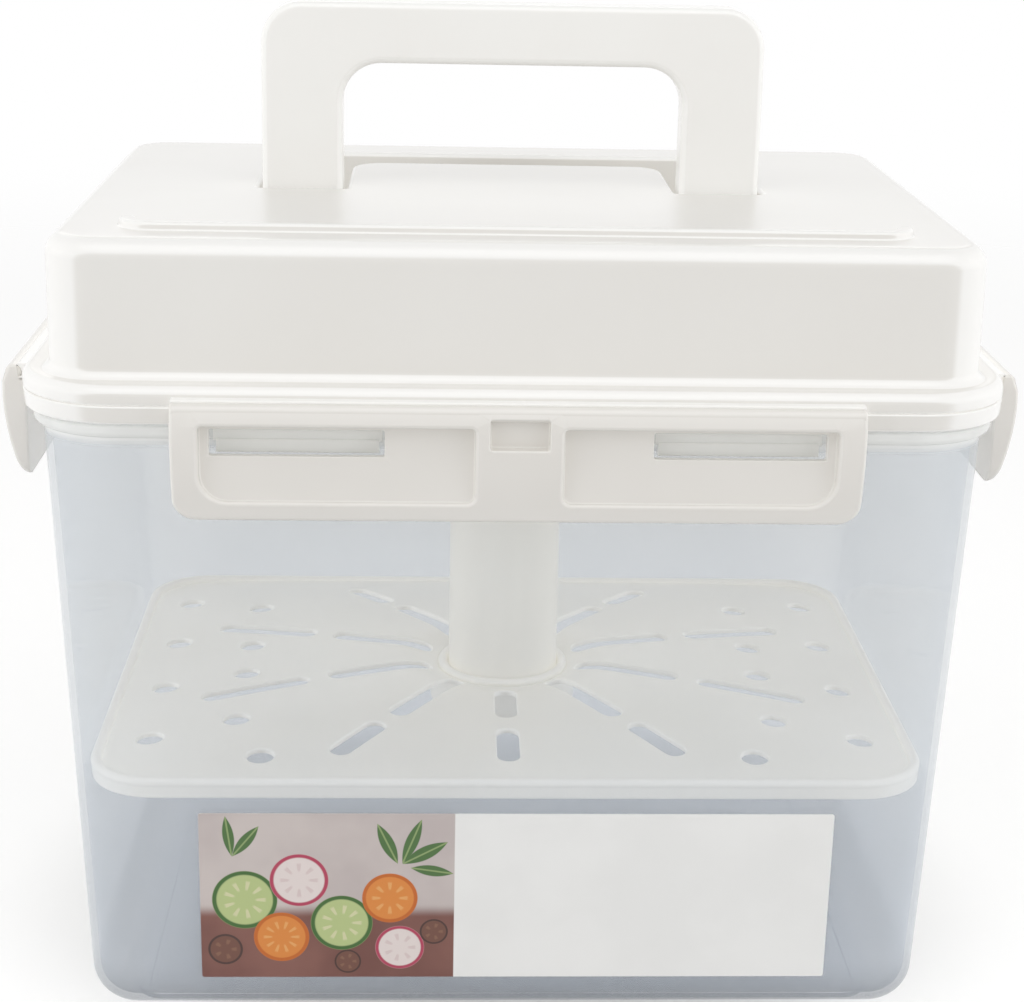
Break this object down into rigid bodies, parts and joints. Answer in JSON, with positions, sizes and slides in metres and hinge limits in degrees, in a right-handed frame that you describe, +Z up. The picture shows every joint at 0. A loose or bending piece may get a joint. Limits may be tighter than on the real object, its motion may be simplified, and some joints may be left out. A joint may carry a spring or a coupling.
{
  "type": "fermentation jar",
  "caption": "Rectangular see-through fermentation tub with a tall clip-on lid, folding carry handle, hinged latch flaps and a sprung, slotted press plate on a telescoping column.",
  "frame": {"origin": "middle of the face that the tub stands on", "axes": "+Z up, +X to the right as seen from the label's side, +Y from the label to the back"},
  "size_m": [0.2464, 0.1864, 0.2489],
  "materials": {
    "clear_tub": "translucent, smooth",
    "label_paper": "printed satin paper",
    "lid_white": "gloss",
    "seal_silicone": "matt, slightly see-through",
    "flap_white": "gloss",
    "handle_white": "gloss",
    "press_white": "gloss",
    "bush_white": "satin",
    "spring_steel": "drawn wire"
  },
  "bodies": {
    "tub": {"tub": "clear_tub", "front_label": "label_paper"},
    "lid": {"lid": "lid_white", "lid_seal": "seal_silicone", "guide_tube": "press_white", "press_spring": "spring_steel"},
    "front_flap": {"front_flap": "flap_white"},
    "rear_flap": {"rear_flap": "flap_white"},
    "left_flap": {"left_flap": "flap_white"},
    "right_flap": {"right_flap": "flap_white"},
    "handle": {"carry_handle": "handle_white"},
    "press": {"press_plate": "press_white", "press_column": "press_white", "column_bush": "bush_white"}
  },
  "joints": [
    {"name": "lid_lift", "type": "slide", "parent": "tub", "child": "lid", "axis": [0, 0, 1], "range_m": [0, 0.13]},
    {"name": "front_flap_hinge", "type": "hinge", "parent": "lid", "child": "front_flap", "pos_m": [0, -0.091, 0.164], "axis": [-1, 0, 0], "range_deg": [0, 110]},
    {"name": "rear_flap_hinge", "type": "hinge", "parent": "lid", "child": "rear_flap", "pos_m": [0, 0.091, 0.164], "axis": [1, 0, 0], "range_deg": [0, 110]},
    {"name": "left_flap_hinge", "type": "hinge", "parent": "lid", "child": "left_flap", "pos_m": [-0.121, 0, 0.164], "axis": [0, 1, 0], "range_deg": [0, 110]},
    {"name": "right_flap_hinge", "type": "hinge", "parent": "lid", "child": "right_flap", "pos_m": [0.121, 0, 0.164], "axis": [0, -1, 0], "range_deg": [0, 110]},
    {"name": "handle_fold", "type": "hinge", "parent": "lid", "child": "handle", "pos_m": [0, 0.0034, 0.1932], "axis": [-1, 0, 0], "range_deg": [0, 90]},
    {"name": "press_slide", "type": "slide", "parent": "lid", "child": "press", "axis": [0, 0, 1], "range_m": [0, 0.035], "stiffness_N_per_m": 640, "springref_m": -0.01, "deforming": ["press_spring"]}
  ]
}
